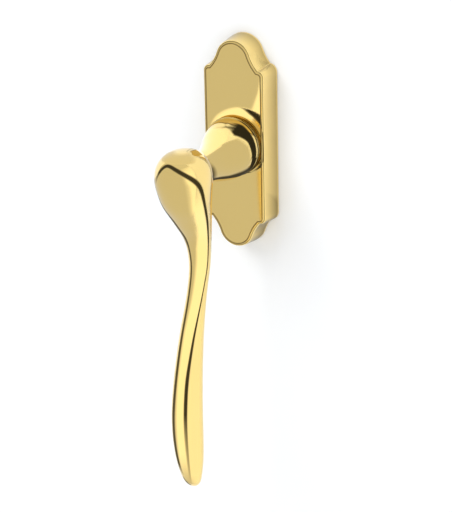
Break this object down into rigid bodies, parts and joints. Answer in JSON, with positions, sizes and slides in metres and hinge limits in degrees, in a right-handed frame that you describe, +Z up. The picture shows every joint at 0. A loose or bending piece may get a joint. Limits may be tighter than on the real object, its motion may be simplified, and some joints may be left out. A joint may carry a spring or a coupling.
{
  "type": "window handle",
  "caption": "Espagnolette window handle: a rounded lever on a horn neck turns a square spindle through a slim plate with ogee ends.",
  "frame": {"origin": "on the spindle axis, in the plane of the sash face that the plate is fixed to", "axes": "+Y into the sash along the spindle, -Y out towards the hand, +Z up with the lever hanging down -Z, +X to the right seen from the room"},
  "size_m": [0.031, 0.1004, 0.1908],
  "materials": {
    "lever_brass": "polished",
    "neck_brass": "polished",
    "cover_brass": "polished",
    "base_zinc": "as cast",
    "hard_steel": "drawn",
    "plate_steel": "pressed",
    "spring_steel": "blued",
    "screw_zinc": "zinc plated",
    "nylon": "moulded"
  },
  "bodies": {
    "plate": {"base_plate": "base_zinc", "cover_plate": "cover_brass", "upper_fixing_screw": "screw_zinc", "lower_fixing_screw": "screw_zinc", "bearing_bush": "nylon", "neck_washer": "nylon", "thrust_washer": "plate_steel", "detent_spring_left": "spring_steel", "detent_spring_right": "spring_steel", "spring_keeper": "plate_steel", "keeper_rivet_1": "plate_steel", "keeper_rivet_2": "plate_steel", "keeper_rivet_3": "plate_steel", "keeper_rivet_4": "plate_steel", "cover_clip_upper": "spring_steel", "cover_clip_lower": "spring_steel"},
    "handle": {"lever": "lever_brass", "neck": "neck_brass", "spindle": "hard_steel", "spindle_pin": "hard_steel", "detent_cam": "hard_steel", "retaining_ring": "spring_steel"}
  },
  "joints": [
    {"name": "handle_turn", "type": "hinge", "parent": "plate", "child": "handle", "pos_m": [0, 0, 0], "axis": [0, -1, 0], "range_deg": [-180, 180], "deforming": ["detent_spring_left", "detent_spring_right"]}
  ]
}
